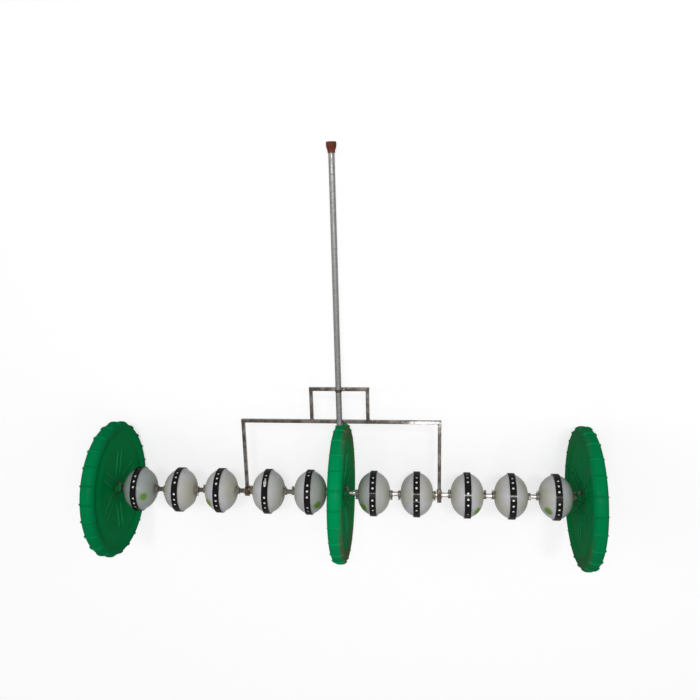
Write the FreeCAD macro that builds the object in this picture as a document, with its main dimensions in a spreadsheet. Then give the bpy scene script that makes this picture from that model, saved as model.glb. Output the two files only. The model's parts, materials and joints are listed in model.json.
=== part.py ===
import FreeCAD, Part
import math
import os
import re
import Sketcher

# Ten-row paddy seeder: ten seed drums and three lugged wheels on one through shaft, carried by a
# tubular drawbar frame.  Lengths are in millimetres and angles in degrees.  +Z is up, X runs along
# the shaft, and the drawbar reaches out along +Y to rest its end knob on the ground.

SIZES = {
    # shaft, and the gaps that space the drums and wheels along it
    "shaft_radius": 10.2,
    "shaft_wall": 2.2,
    "shaft_stub": 38.0,
    "clip_gap": 1.0,
    "clip_groove_width": 2.0,
    "clip_groove_depth": 1.0,
    "hub_gap": 0.25,
    "centre_hub_gap": 25.0,
    "drum_gap": 23.0,
    "leg_bay": 52.0,
    "outer_hub_gap": 6.0,
    # wheels
    "wheel_radius": 300.0,
    "tread_half_width": 31.0,
    "shoulder_round": 26.0,
    "shoulder_inset": 30.0,
    "valley_inset": 60.0,
    "valley_half": 20.0,
    "ridge_inset": 93.0,
    "ridge_half": 25.0,
    "rim_soft_round": 12.0,
    "wheel_hub_radius": 18.0,
    "wheel_hub_half": 34.0,
    "web_half_at_hub": 6.0,
    "hub_root_round": 5.0,
    "wheel_skin": 2.2,
    "lug_count": 24,
    "lug_height": 5.0,
    "lug_base_half": 8.0,
    "lug_tip_half": 1.0,
    "lug_flank_round": 10.0,
    "lug_foot_depth": 0.6,
    "lug_wrap": 55.0,
    "flute_count": 6,
    "flute_hub_margin": 45.0,
    "flute_rim_margin": 36.0,
    "flute_width": 6.0,
    "flute_spacing": 38.0,
    "flute_height": 2.2,
    "flute_run": 8.0,
    "flute_root": 1.0,
    "flute_draft": 20.0,
    # seed drums
    "drum_radius": 92.0,
    "drum_half_length": 70.0,
    "dome_round": 84.0,
    "drum_skin": 2.2,
    "neck_radius": 15.0,
    "neck_length": 12.0,
    "belt_height": 3.7,
    "belt_half_width": 16.0,
    # metering bands
    "band_gap": 0.3,
    "band_thickness": 2.5,
    "band_half_width": 14.0,
    "band_bevel": 0.8,
    "band_hole_radius": 4.8,
    "band_hole_pitch": 15.0,
    "band_holes_per_group": 3,
    "band_groups": 6,
    # filler caps
    "filler_offset": 40.0,
    "filler_seat_drop": 1.6,
    "filler_neck_wall": 6.0,
    "filler_neck_depth": 9.0,
    "filler_bore_radius": 16.0,
    "cap_overlap": 4.0,
    "cap_edge_height": 1.4,
    "cap_round": 0.6,
    "cap_plug_depth": 5.0,
    "cap_gap": 0.25,
    # drawbar frame
    "tube_size": 15.0,
    "tube_wall": 1.6,
    "tube_corner": 2.0,
    "wheel_clearance": 18.5,
    "bracket_rise": 145.0,
    "bracket_half_width": 121.0,
    "weld_gap": 0.2,
    # bearings
    "block_gap": 6.0,
    "block_half_depth": 18.0,
    "block_top": 18.0,
    "block_thickness": 18.0,
    "block_drop_left": 24.0,
    "block_drop_right": 37.0,
    "block_round": 1.5,
    "bush_wall": 3.25,
    "bush_gap": 0.1,
    "bush_flange_width": 3.5,
    "bush_flange_thickness": 2.5,
    "running_gap": 0.05,
    # pole
    "pole_radius": 12.5,
    "pole_wall": 2.0,
    "pole_reach": 1487.0,
    "strap_thickness": 2.0,
    "strap_width": 12.0,
    "strap_ear": 14.0,
    "knob_radius": 20.5,
    "knob_head_length": 18.0,
    "knob_taper_length": 17.0,
    "knob_sleeve_length": 8.0,
    "knob_sleeve_wall": 2.2,
    "knob_end_thickness": 8.0,
    "knob_round": 4.0,
    "knob_gap": 0.25,
}

# Sizes that follow from the ones above, as expressions in their names.
DRUM_END = "(drum_half_length + neck_length)"
BELT_RADIUS = "(drum_radius + belt_height)"
BAND_BORE = f"({BELT_RADIUS} + band_gap)"
FIRST_DRUM = f"(wheel_hub_half + centre_hub_gap + {DRUM_END})"
DRUM_STEP = f"(2 * {DRUM_END} + drum_gap)"
BAY_STEP = f"(2 * {DRUM_END} + leg_bay)"
DRUM_PLACES = (
    FIRST_DRUM,
    f"({FIRST_DRUM} + {DRUM_STEP})",
    f"({FIRST_DRUM} + {DRUM_STEP} + {BAY_STEP})",
    f"({FIRST_DRUM} + 2 * {DRUM_STEP} + {BAY_STEP})",
    f"({FIRST_DRUM} + 3 * {DRUM_STEP} + {BAY_STEP})",
)
LEG_PLACE = f"({DRUM_PLACES[1]} + {DRUM_END} + block_gap + block_thickness / 2)"
WHEEL_PLACE = f"({DRUM_PLACES[4]} + {DRUM_END} + outer_hub_gap + wheel_hub_half)"
SHAFT_END = f"({WHEEL_PLACE} + wheel_hub_half + shaft_stub)"
HUB_BORE = "(shaft_radius + hub_gap)"
RIDGE_RADIUS = "(wheel_radius - ridge_inset)"
VALLEY_RADIUS = "(wheel_radius - valley_inset)"
FACE_RADIUS = "(wheel_radius - shoulder_inset)"
LUG_REACH = "(wheel_radius + lug_height)"
SHOULDER_PLACE = "(tread_half_width - shoulder_round)"
CROSSBAR_HEIGHT = f"({LUG_REACH} + wheel_clearance + tube_size / 2)"
BAR_HEIGHT = f"({CROSSBAR_HEIGHT} + bracket_rise)"
BUSH_BORE = "(shaft_radius + running_gap)"
BUSH_RADIUS = f"({BUSH_BORE} + bush_wall)"
POLE_OFFSET = "(tube_size / 2 + weld_gap + pole_radius)"

# Which dome each drum's filler cap is on, and how far the drum is turned about the shaft from
# the pole's side of the frame.
CAP_SIDE = (1, 1, -1, 1, 1, -1, 1, 1, 1, -1)
CAP_TURN = (2.0, 108.0, 19.0, 112.0, 19.0, 23.0, 110.0, 31.0, 106.0, 23.0)

doc = FreeCAD.newDocument("paddy_seeder")
sheet = doc.addObject("Spreadsheet::Sheet", "sizes")
for row, (alias, number) in enumerate(SIZES.items(), start=1):
    sheet.set(f"A{row}", alias)
    sheet.set(f"B{row}", str(number))
    sheet.setAlias(f"B{row}", alias)
doc.recompute()


def size(expression):
    """Value of an expression in the sheet's aliases."""
    return float(sheet.evalExpression(expression))


def bound(expression):
    """The same expression as other objects write it, with the sheet's name before each alias."""
    return re.sub(r"\b[a-z][a-z_]*\b(?!\()", lambda word: f"sizes.{word.group(0)}", expression)


def vector(x, y, z=0.0):
    return FreeCAD.Vector(x, y, z)


# ---------------------------------------------------------------- sketches and features


def new_body(label):
    body = doc.addObject("PartDesign::Body", label)
    body.Label = label
    return body


def copy_of(master, label):
    """A body that repeats another body's shape."""
    body = new_body(label)
    base = body.newObject("PartDesign::FeatureBase", f"{label}_base")
    base.BaseFeature = master
    return body


def origin_feature(body, role):
    return next(feature for feature in body.Origin.OriginFeatures if feature.Role == role)


def new_sketch(body, name, plane, offset=None):
    """A sketch on one of the body's origin planes, lifted off it by an expression if given."""
    sketch = body.newObject("Sketcher::SketchObject", f"{body.Name}_{name}")
    sketch.AttachmentSupport = [(origin_feature(body, plane), "")]
    sketch.MapMode = "FlatFace"
    if offset:
        sketch.setExpression("AttachmentOffset.Base.z", bound(offset))
    return sketch


def join(sketch, first, second):
    """Bring two points of a sketch together, each given as (geometry, end)."""
    sketch.addConstraint(Sketcher.Constraint("Coincident", first[0], first[1], second[0], second[1]))


def hold(sketch, point, x=None, y=None):
    """Hold a point of a sketch by one or both of its coordinates, given as expressions."""
    for kind, expression in (("DistanceX", x), ("DistanceY", y)):
        if expression is None:
            continue
        held = sketch.addConstraint(Sketcher.Constraint(kind, point[0], point[1], size(expression)))
        sketch.setExpression(f"Constraints[{held}]", bound(expression))


def hold_radius(sketch, index, radius):
    held = sketch.addConstraint(Sketcher.Constraint("Radius", index, size(radius)))
    sketch.setExpression(f"Constraints[{held}]", bound(radius))


def corner(x, y):
    return vector(size(x), size(y))


def arc_centre(start, end, radius):
    """Centre of an arc of a given radius that runs counter-clockwise from one place to another."""
    chord = end - start
    rise = math.sqrt(radius ** 2 - (chord.Length / 2) ** 2)
    return (start + end) * 0.5 + vector(-chord.y, chord.x).normalize() * rise


def add_arc(sketch, start, end, radius):
    """A counter-clockwise arc from one place to another, its radius an expression."""
    centre = arc_centre(start, end, size(radius))
    first = math.atan2(start.y - centre.y, start.x - centre.x)
    last = math.atan2(end.y - centre.y, end.x - centre.x)
    circle = Part.Circle(centre, vector(0, 0, 1), size(radius))
    index = sketch.addGeometry(Part.ArcOfCircle(circle, first, last), False)
    hold_radius(sketch, index, radius)


def add_outline(sketch, corners, bulges=None, hollows=None):
    """A closed run through corners given as pairs of expressions.

    Its sides are straight, apart from arcs: bulges and hollows give the radius of those that run
    counter-clockwise and clockwise, by the number of the side.
    """
    bulges, hollows = bulges or {}, hollows or {}
    first = sketch.GeometryCount
    places = [corner(x, y) for x, y in corners]
    for i, start in enumerate(places):
        end = places[(i + 1) % len(places)]
        if i in bulges:
            add_arc(sketch, start, end, bulges[i])
        elif i in hollows:
            add_arc(sketch, end, start, hollows[i])
        else:
            sketch.addGeometry(Part.LineSegment(start, end), False)
    heads = [(first + i, 2 if i in hollows else 1) for i in range(len(corners))]
    tails = [(first + i, 1 if i in hollows else 2) for i in range(len(corners))]
    for i, (x, y) in enumerate(corners):
        join(sketch, tails[i - 1], heads[i])
        hold(sketch, heads[i], x, y)


def both_sides(right):
    """A run of corners followed by its mirror image across the sketch's upright axis."""
    return right + [(f"-({x})", y) for x, y in reversed(right)]


def add_rectangle(sketch, left, low, right, high):
    add_outline(sketch, [(left, low), (right, low), (right, high), (left, high)])


def add_circle(sketch, radius):
    """A circle about the sketch's own origin."""
    index = sketch.addGeometry(Part.Circle(vector(0, 0), vector(0, 0, 1), size(radius)), False)
    join(sketch, (index, 3), (-1, 1))
    hold_radius(sketch, index, radius)


def add_pad(body, sketch, length, midplane=True):
    pad = body.newObject("PartDesign::Pad", f"{sketch.Name}_pad")
    pad.Profile = sketch
    pad.setExpression("Length", bound(length))
    pad.Midplane = midplane
    return pad


def add_pocket(body, sketch, length, midplane=True):
    pocket = body.newObject("PartDesign::Pocket", f"{sketch.Name}_pocket")
    pocket.Profile = sketch
    pocket.setExpression("Length", bound(length))
    pocket.Midplane = midplane
    return pocket


def add_turned(body, sketch, axis, kind="PartDesign::Revolution"):
    turned = body.newObject(kind, f"{sketch.Name}_turned")
    turned.Profile = sketch
    turned.ReferenceAxis = (sketch, [axis])
    turned.Angle = 360.0
    return turned


def add_pattern(body, originals, count, angle="360"):
    """Repeat features about the body's X axis."""
    pattern = body.newObject("PartDesign::PolarPattern", f"{originals[0].Name}_around")
    pattern.Originals = originals
    pattern.Axis = (origin_feature(body, "X_Axis"), [""])
    pattern.setExpression("Angle", bound(angle))
    pattern.setExpression("Occurrences", bound(count))
    body.Tip = pattern
    return pattern


def add_round(body, base, radius, wanted):
    """Round the edges of a feature that the test picks."""
    doc.recompute()
    names = [f"Edge{i}" for i, edge in enumerate(base.Shape.Edges, start=1) if wanted(edge)]
    fillet = body.newObject("PartDesign::Fillet", f"{base.Name}_round")
    fillet.Base = (base, names)
    fillet.setExpression("Radius", bound(radius))
    return fillet


def ring_edges(*rings):
    """A test for circular edges about the X axis, each ring given as (half width, radius)."""
    places = [(size(half), size(radius)) for half, radius in rings]

    def wanted(edge):
        curve = edge.Curve
        if not isinstance(curve, Part.Circle):
            return False
        return any(
            abs(abs(curve.Center.x) - half) < 0.01 and abs(curve.Radius - radius) < 0.01
            for half, radius in places
        )

    return wanted


# ---------------------------------------------------------------- standing of the machine

# Parked, each wheel rests on two neighbouring lugs and the knob's rounded edge on the same ground.
lug_pitch = 360.0 / size("lug_count")
half_pitch = math.radians(lug_pitch / 2)
axle_height = size(LUG_REACH) * math.cos(half_pitch) + size("lug_tip_half") * math.sin(half_pitch)
knob_along = size("pole_reach - knob_round")
knob_below = size(f"knob_radius - knob_round - {POLE_OFFSET}")
knob_above = size(f"knob_radius - knob_round + {POLE_OFFSET}")
drop = axle_height - size("knob_round")
park_angle = math.asin(drop / math.hypot(knob_along, knob_below)) - math.atan2(knob_below, knob_along)
front_reach = (
    knob_along * math.cos(park_angle) + knob_above * math.sin(park_angle) + size("knob_round")
)
AXLE = vector(0, (axle_height - front_reach) / 2, axle_height)
FRAME = FreeCAD.Placement(AXLE, FreeCAD.Rotation(vector(1, 0, 0), -90.0 - math.degrees(park_angle)))
NO_TURN = FreeCAD.Rotation()

PARTS = []


def place_on_frame(body, x="0", y="0", z="0", turn=NO_TURN):
    """Place a piece given in the frame's own axes: shaft along X, pole along Z, rear along +Y."""
    at = vector(size(x), size(y), size(z))
    body.Placement = FRAME.multiply(FreeCAD.Placement(at, turn))
    PARTS.append(body)


# ---------------------------------------------------------------- drawbar frame


def square_tube(label, axis_plane, length):
    """A square tube with rounded outer corners, centred on its own origin."""
    body = new_body(label)
    section = new_sketch(body, "section", axis_plane)
    for half in ("tube_size / 2", "tube_size / 2 - tube_wall"):
        add_rectangle(section, f"-({half})", f"-({half})", half, half)
    pad = add_pad(body, section, length)
    run = size(length)
    corner_distance = math.hypot(size("tube_size / 2"), size("tube_size / 2"))

    def outer_corner(edge):
        is_long = abs(edge.Length - run) < 0.01
        return is_long and edge.CenterOfMass.Length > corner_distance - 0.01

    add_round(body, pad, "tube_corner", outer_corner)
    return body


def build_frame():
    """A crossbar on two legs, and a small bracket standing on the crossbar."""
    bar_length = "2 * {} + tube_size"
    crossbar = square_tube("crossbar", "YZ_Plane", bar_length.format(LEG_PLACE))
    place_on_frame(crossbar, z=CROSSBAR_HEIGHT)
    bracket_bar = square_tube("bracket_bar", "YZ_Plane", bar_length.format("bracket_half_width"))
    place_on_frame(bracket_bar, z=BAR_HEIGHT)
    leg_length = f"({CROSSBAR_HEIGHT} - tube_size / 2 - block_top)"
    post_length = "(bracket_rise - tube_size)"
    for sign, side in (("-", "left"), ("", "right")):
        leg = square_tube(f"leg_{side}", "XY_Plane", leg_length)
        place_on_frame(leg, x=sign + LEG_PLACE, z=f"block_top + {leg_length} / 2")
        post = square_tube(f"bracket_post_{side}", "XY_Plane", post_length)
        place_on_frame(post, x=f"{sign}bracket_half_width", z=f"{CROSSBAR_HEIGHT} + bracket_rise / 2")


def build_pole():
    """The pole stands before the two bars, and the knob caps its end."""
    pole = new_body("pole")
    section = new_sketch(pole, "section", "XY_Plane")
    add_circle(section, "pole_radius")
    add_circle(section, "pole_radius - pole_wall")
    foot = f"({CROSSBAR_HEIGHT} - tube_size / 2)"
    add_pad(pole, section, f"pole_reach - knob_end_thickness - knob_gap - {foot}", midplane=False)
    place_on_frame(pole, y=f"-{POLE_OFFSET}", z=foot)

    knob = new_body("pole_knob")
    outline = new_sketch(knob, "outline", "XZ_Plane")
    bore = "pole_radius + knob_gap"
    sleeve = f"{bore} + knob_sleeve_wall"
    taper_end = "-knob_head_length - knob_taper_length"
    add_outline(outline, [
        ("0", "0"),
        ("0", "-knob_end_thickness"),
        (bore, "-knob_end_thickness"),
        (bore, f"{taper_end} - knob_sleeve_length"),
        (sleeve, f"{taper_end} - knob_sleeve_length"),
        (sleeve, taper_end),
        ("knob_radius", "-knob_head_length"),
        ("knob_radius", "0"),
    ])
    turned = add_turned(knob, outline, "V_Axis")
    rim = size("knob_radius")

    def end_edge(edge):
        curve = edge.Curve
        is_rim = isinstance(curve, Part.Circle) and abs(curve.Radius - rim) < 0.01
        return is_rim and abs(curve.Center.z) < 0.01

    add_round(knob, turned, "knob_round", end_edge)
    place_on_frame(knob, y=f"-{POLE_OFFSET}", z="pole_reach")


def build_strap():
    """A bent strap that holds the pole against the small bracket's bar."""
    strap = new_body("pole_strap")
    section = new_sketch(strap, "section", "XY_Plane")
    inner = "(pole_radius + weld_gap)"
    outer = f"({inner} + strap_thickness)"
    reach = f"({outer} + strap_ear)"
    ear_front = "pole_radius - strap_thickness"
    add_outline(section, [
        (f"-{outer}", "0"),
        ("0", f"-{outer}"),
        (outer, "0"),
        (outer, ear_front),
        (reach, ear_front),
        (reach, "pole_radius"),
        (inner, "pole_radius"),
        (inner, "0"),
        ("0", f"-{inner}"),
        (f"-{inner}", "0"),
        (f"-{inner}", "pole_radius"),
        (f"-{reach}", "pole_radius"),
        (f"-{reach}", ear_front),
        (f"-{outer}", ear_front),
    ], bulges={0: outer, 1: outer}, hollows={7: inner, 8: inner})
    add_pad(strap, section, "strap_width")
    place_on_frame(strap, y=f"-{POLE_OFFSET}", z=BAR_HEIGHT)


# ---------------------------------------------------------------- bearings


def build_bearing(sign, side):
    """A bearing block under a leg, with the flanged bush that the shaft turns in."""
    block = new_body(f"bearing_block_{side}")
    face = new_sketch(block, "face", "YZ_Plane")
    low = f"(block_half_depth - block_drop_{side})"
    add_outline(face, [
        ("-block_half_depth", low),
        ("0", f"-block_drop_{side}"),
        ("block_half_depth", low),
        ("block_half_depth", "block_top"),
        ("-block_half_depth", "block_top"),
    ], bulges={0: "block_half_depth", 1: "block_half_depth"})
    plate = add_pad(block, face, "block_thickness")
    half_thickness = size("block_thickness / 2")

    def outer_edge(edge):
        box = edge.BoundBox
        return box.XLength < 0.01 and abs(abs(box.XMax) - half_thickness) < 0.01

    add_round(block, plate, "block_round", outer_edge)
    seat = new_sketch(block, "seat", "YZ_Plane")
    add_circle(seat, f"{BUSH_RADIUS} + bush_gap")
    add_pocket(block, seat, "2 * block_thickness")
    place_on_frame(block, x=sign + LEG_PLACE)

    bush = new_body(f"bearing_bush_{side}")
    outline = new_sketch(bush, "outline", "XZ_Plane")
    near = "-block_thickness / 2"
    seat_face = "block_thickness / 2 + bush_gap"
    add_outline(outline, [
        (near, BUSH_BORE),
        (f"{seat_face} + bush_flange_thickness", BUSH_BORE),
        (f"{seat_face} + bush_flange_thickness", f"{BUSH_RADIUS} + bush_flange_width"),
        (seat_face, f"{BUSH_RADIUS} + bush_flange_width"),
        (seat_face, BUSH_RADIUS),
        (near, BUSH_RADIUS),
    ])
    add_turned(bush, outline, "H_Axis")
    outward = FreeCAD.Rotation(vector(0, 0, 1), 180.0 if sign else 0.0)
    place_on_frame(bush, x=sign + LEG_PLACE, turn=outward)


# ---------------------------------------------------------------- running gear


def build_shaft():
    """A pipe with a groove for a spring clip outside each outer hub."""
    shaft = new_body("shaft")
    outline = new_sketch(shaft, "outline", "XZ_Plane")
    groove = f"({WHEEL_PLACE} + wheel_hub_half + clip_gap)"
    bottom = "shaft_radius - clip_groove_depth"
    add_outline(outline, both_sides([
        (SHAFT_END, "shaft_radius - shaft_wall"),
        (SHAFT_END, "shaft_radius"),
        (f"{groove} + clip_groove_width", "shaft_radius"),
        (f"{groove} + clip_groove_width", bottom),
        (groove, bottom),
        (groove, "shaft_radius"),
    ]))
    add_turned(shaft, outline, "H_Axis")
    place_on_frame(shaft)


def web_half(radius):
    """Half the width between a wheel's two dished faces at a radius, inside the ridge."""
    slope = f"(ridge_half - web_half_at_hub) / ({RIDGE_RADIUS} - wheel_hub_radius)"
    return f"(web_half_at_hub + ({radius} - wheel_hub_radius) * {slope})"


def lug_section(wheel, name, offset):
    """A lug's section, its foot just below the tread and its flanks hollow.

    It is drawn about the middle of the shoulders' round, so that its own flat axis can turn it.
    """
    section = new_sketch(wheel, name, "YZ_Plane", offset)
    section.setExpression("AttachmentOffset.Base.y", bound("wheel_radius - shoulder_round"))
    foot, crest = "shoulder_round - lug_foot_depth", "shoulder_round + lug_height"
    add_outline(section, [
        ("-lug_base_half", foot),
        ("lug_base_half", foot),
        ("lug_tip_half", crest),
        ("-lug_tip_half", crest),
    ], hollows={1: "lug_flank_round", 3: "lug_flank_round"})
    return section


def add_lugs(wheel):
    """Cross lugs around the tread, straight over its middle and turned down over both shoulders."""
    pieces = [add_pad(wheel, lug_section(wheel, "lug", "0"), f"2 * {SHOULDER_PLACE}")]
    for name, sign in (("lug_end_right", ""), ("lug_end_left", "-")):
        section = lug_section(wheel, name, sign + SHOULDER_PLACE)
        end = add_turned(wheel, section, "H_Axis")
        end.setExpression("Angle", bound("lug_wrap"))
        end.Reversed = bool(sign)
        pieces.append(end)
    add_pattern(wheel, pieces, "lug_count")


def add_flutes(wheel):
    """Pairs of straight raised flutes that follow the dished faces."""
    inner, outer = "(wheel_hub_radius + flute_hub_margin)", f"({RIDGE_RADIUS} - flute_rim_margin)"
    start, end = f"({inner} - flute_run)", f"({outer} + flute_run)"
    pads = []
    for name, side in (("flute_low", "-flute_spacing / 2"), ("flute_high", "flute_spacing / 2")):
        outline = new_sketch(wheel, name, "XZ_Plane", side)
        add_outline(outline, both_sides([
            (f"{web_half(start)} - flute_root", start),
            (f"{web_half(inner)} + flute_height", inner),
            (f"{web_half(outer)} + flute_height", outer),
            (f"{web_half(end)} - flute_root", end),
        ]))
        pad = add_pad(wheel, outline, "flute_width")
        pad.setExpression("TaperAngle", bound("flute_draft"))
        pads.append(pad)
    add_pattern(wheel, pads, "flute_count")


def build_wheel(label):
    """A hollow wheel: dished faces, a ridge and a valley, round shoulders, lugs and flutes."""
    wheel = new_body(label)
    outline = new_sketch(wheel, "outline", "XZ_Plane")
    add_outline(outline, both_sides([
        ("wheel_hub_half", HUB_BORE),
        ("wheel_hub_half", "wheel_hub_radius"),
        ("web_half_at_hub", "wheel_hub_radius"),
        ("ridge_half", RIDGE_RADIUS),
        ("valley_half", VALLEY_RADIUS),
        ("tread_half_width", FACE_RADIUS),
        ("tread_half_width", "wheel_radius"),
    ]))
    turned = add_turned(wheel, outline, "H_Axis")
    shoulders = add_round(
        wheel, turned, "shoulder_round", ring_edges(("tread_half_width", "wheel_radius"))
    )
    rim_rings = ring_edges(
        ("ridge_half", RIDGE_RADIUS), ("valley_half", VALLEY_RADIUS), ("tread_half_width", FACE_RADIUS)
    )
    rim = add_round(wheel, shoulders, "rim_soft_round", rim_rings)
    add_round(wheel, rim, "hub_root_round", ring_edges(("web_half_at_hub", "wheel_hub_radius")))
    add_lugs(wheel)
    add_flutes(wheel)
    hollow = new_sketch(wheel, "hollow", "XZ_Plane")
    shoulder_inside = "shoulder_round - wheel_skin"
    add_outline(hollow, both_sides([
        ("web_half_at_hub - wheel_skin", "wheel_hub_radius + wheel_skin"),
        ("ridge_half - wheel_skin", RIDGE_RADIUS),
        ("valley_half - wheel_skin", VALLEY_RADIUS),
        ("tread_half_width - wheel_skin", FACE_RADIUS),
        ("tread_half_width - wheel_skin", "wheel_radius - shoulder_round"),
        (SHOULDER_PLACE, "wheel_radius - wheel_skin"),
    ]), bulges={4: shoulder_inside, 6: shoulder_inside})
    add_turned(wheel, hollow, "H_Axis", "PartDesign::Groove")
    return wheel


def build_wheels():
    """Three like wheels, each standing on two lugs."""
    master = build_wheel("wheel_left")
    stand = FreeCAD.Rotation(vector(1, 0, 0), lug_pitch / 2)
    wheels = (master, copy_of(master, "wheel_centre"), copy_of(master, "wheel_right"))
    for wheel, side in zip(wheels, (-1, 0, 1)):
        wheel.Placement = FreeCAD.Placement(AXLE + vector(side * size(WHEEL_PLACE), 0), stand)
        PARTS.append(wheel)


def filler_seat():
    """Where a cap sits on a drum: square to the right-hand dome and a little below its surface."""
    neck, belt = corner("drum_half_length", "neck_radius"), corner("belt_half_width", "drum_radius")
    centre = arc_centre(neck, belt, size("dome_round"))
    side = size("filler_offset")
    rise = math.sqrt(size("dome_round") ** 2 - (side - centre.x) ** 2)
    spot = vector(side, -(centre.y + rise))
    away = (spot - vector(centre.x, -centre.y)).normalize()
    seat = FreeCAD.Placement(spot, FreeCAD.Rotation(vector(0, 0, 1), away))
    seat.move(away * -size("filler_seat_drop"))
    return seat


def seat_circle(drum, name, radius):
    """A circle on the drum in the plane that its cap sits on."""
    circle = new_sketch(drum, name, "XY_Plane")
    circle.AttachmentOffset = filler_seat()
    add_circle(circle, radius)
    return circle


def build_drum(label):
    """An egg-shaped drum: two domes, a raised belt, hub necks, and a cap's seat faced into a dome."""
    drum = new_body(label)
    outline = new_sketch(drum, "outline", "XZ_Plane")
    add_outline(outline, both_sides([
        (DRUM_END, HUB_BORE),
        (DRUM_END, "neck_radius"),
        ("drum_half_length", "neck_radius"),
        ("belt_half_width", "drum_radius"),
        ("belt_half_width", BELT_RADIUS),
    ]), bulges={2: "dome_round", 6: "dome_round"})
    add_turned(drum, outline, "H_Axis")

    hollow = new_sketch(drum, "hollow", "XZ_Plane")
    end, core = "(drum_half_length - drum_skin)", f"{HUB_BORE} + drum_skin"
    inner_round = "dome_round - drum_skin"
    add_outline(hollow, [
        (end, core), ("0", "drum_radius"), (f"-{end}", core)
    ], bulges={0: inner_round, 1: inner_round})
    add_turned(drum, hollow, "H_Axis", "PartDesign::Groove")

    outside = "filler_bore_radius + filler_neck_wall"
    neck = add_pad(drum, seat_circle(drum, "filler_neck", outside), "filler_neck_depth", midplane=False)
    neck.Reversed = True
    crown = seat_circle(drum, "filler_crown", outside)
    facing = add_pocket(drum, crown, "filler_neck_depth", midplane=False)
    facing.Reversed = True
    well = seat_circle(drum, "filler_well", "filler_bore_radius")
    add_pocket(drum, well, "cap_plug_depth + cap_gap", midplane=False)
    return drum


def build_cap(label):
    """A cap crowned like the dome, with a plug that fits the filler neck's well."""
    cap = new_body(label)
    outline = new_sketch(cap, "outline", "XZ_Plane")
    rim, plug = "(filler_bore_radius + cap_overlap)", "(filler_bore_radius - cap_gap)"
    crown = f"cap_edge_height + dome_round - sqrt(dome_round ^ 2 - {rim} ^ 2)"
    add_outline(outline, [
        ("0", "-cap_plug_depth"),
        (plug, "-cap_plug_depth"),
        (plug, "0"),
        (rim, "0"),
        (rim, "cap_edge_height"),
        ("0", crown),
    ], bulges={4: "dome_round"})
    turned = add_turned(cap, outline, "V_Axis")
    edge_height = size("cap_edge_height")

    def top_edge(edge):
        box = edge.BoundBox
        return box.ZLength < 0.01 and abs(box.ZMax - edge_height) < 0.01

    add_round(cap, turned, "cap_round", top_edge)
    return cap


def build_band(label):
    """A metering band: a ring over the drum's belt, with groups of seed holes."""
    band = new_body(label)
    outline = new_sketch(band, "outline", "XZ_Plane")
    outer = f"({BAND_BORE} + band_thickness)"
    add_outline(outline, both_sides([
        ("band_half_width", BAND_BORE),
        ("band_half_width", f"{outer} - band_bevel"),
        ("band_half_width - band_bevel", outer),
    ]))
    add_turned(band, outline, "H_Axis")
    hole = new_sketch(band, "hole", "XZ_Plane")
    add_circle(hole, "band_hole_radius")
    pocket = add_pocket(band, hole, f"2 * {outer}", midplane=False)
    holes = band.newObject("PartDesign::MultiTransform", f"{label}_holes")
    group = doc.addObject("PartDesign::PolarPattern", f"{label}_group")
    around = doc.addObject("PartDesign::PolarPattern", f"{label}_around")
    for pattern in (group, around):
        pattern.Axis = (origin_feature(band, "X_Axis"), [""])
    group.setExpression("Angle", bound("band_hole_pitch * (band_holes_per_group - 1)"))
    group.setExpression("Occurrences", bound("band_holes_per_group"))
    around.Angle = 360.0
    around.setExpression("Occurrences", bound("band_groups"))
    holes.Originals = [pocket]
    holes.Transformations = [group, around]
    band.Tip = holes
    return band


def build_row():
    """Ten drums with their bands and caps, five on each side of the centre wheel."""
    masters = build_drum("seed_drum_1"), build_cap("filler_cap_1"), build_band("metering_band_1")
    places = [f"-{place}" for place in reversed(DRUM_PLACES)] + list(DRUM_PLACES)
    for number, place in enumerate(places, start=1):
        drum, cap, band = masters
        if number > 1:
            drum = copy_of(drum, f"seed_drum_{number}")
            cap = copy_of(cap, f"filler_cap_{number}")
            band = copy_of(band, f"metering_band_{number}")
        turn = FreeCAD.Rotation(vector(1, 0, 0), CAP_TURN[number - 1])
        if CAP_SIDE[number - 1] < 0:
            turn = turn.multiply(FreeCAD.Rotation(vector(0, 1, 0), 180.0))
        place_on_frame(drum, x=place, turn=turn)
        place_on_frame(band, x=place, turn=turn)
        cap.Placement = drum.Placement.multiply(filler_seat())
        PARTS.append(cap)


# ---------------------------------------------------------------- checks and files


def check_document():
    """Stop if a feature failed or a piece is not one valid solid."""
    doc.recompute()
    for item in doc.Objects:
        bad = [state for state in item.State if state in ("Invalid", "Error")]
        if bad:
            raise RuntimeError(f"{item.Name} is {bad}")
    for part in PARTS:
        shape = part.Shape
        if shape.isNull() or not shape.isValid() or len(shape.Solids) != 1:
            raise RuntimeError(f"{part.Label} is not one valid solid")


def write_parts():
    os.makedirs("parts", exist_ok=True)
    for part in PARTS:
        part.Shape.exportStep(f"parts/{part.Label}.step")
        print(part.Label, round(part.Shape.Volume / 1000, 2), "cm3")


build_frame()
build_pole()
build_strap()
build_bearing("-", "left")
build_bearing("", "right")
build_shaft()
build_wheels()
build_row()
check_document()
write_parts()
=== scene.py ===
import json
import logging
import math
from collections.abc import Callable, Iterator, Sequence
from contextlib import contextmanager
from dataclasses import dataclass, field, replace
from enum import Enum
from functools import cached_property

import bpy
from mathutils import Matrix, Vector


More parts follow.
